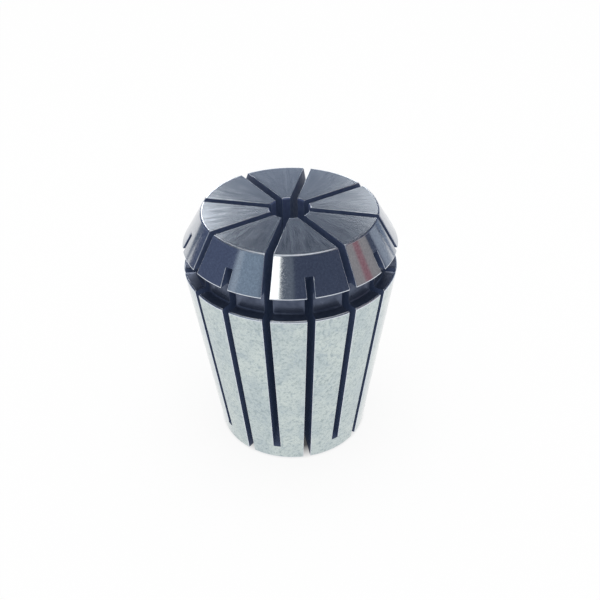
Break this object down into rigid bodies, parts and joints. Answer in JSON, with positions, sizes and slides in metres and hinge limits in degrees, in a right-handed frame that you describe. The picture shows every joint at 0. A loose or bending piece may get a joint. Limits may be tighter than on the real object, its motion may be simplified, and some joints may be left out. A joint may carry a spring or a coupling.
{
  "type": "spring collet",
  "caption": "Tapered spring collet with a small straight bore, a coned nose, a snap groove for its nut, and slots sawn from both ends.",
  "frame": {"origin": "centre of the back face, the small end of the seat taper, on which the collet stands", "axes": "+Z along the bore from the back face to the mouth; one mouth slot lies along +X and another along +Y"},
  "size_m": [0.0328, 0.0328, 0.04],
  "materials": {
    "collet": "hardened spring steel, ground and polished outside, dark in the groove, slots and bore"
  },
  "bodies": {
    "root": {"collet": "collet"}
  },
  "joints": []
}
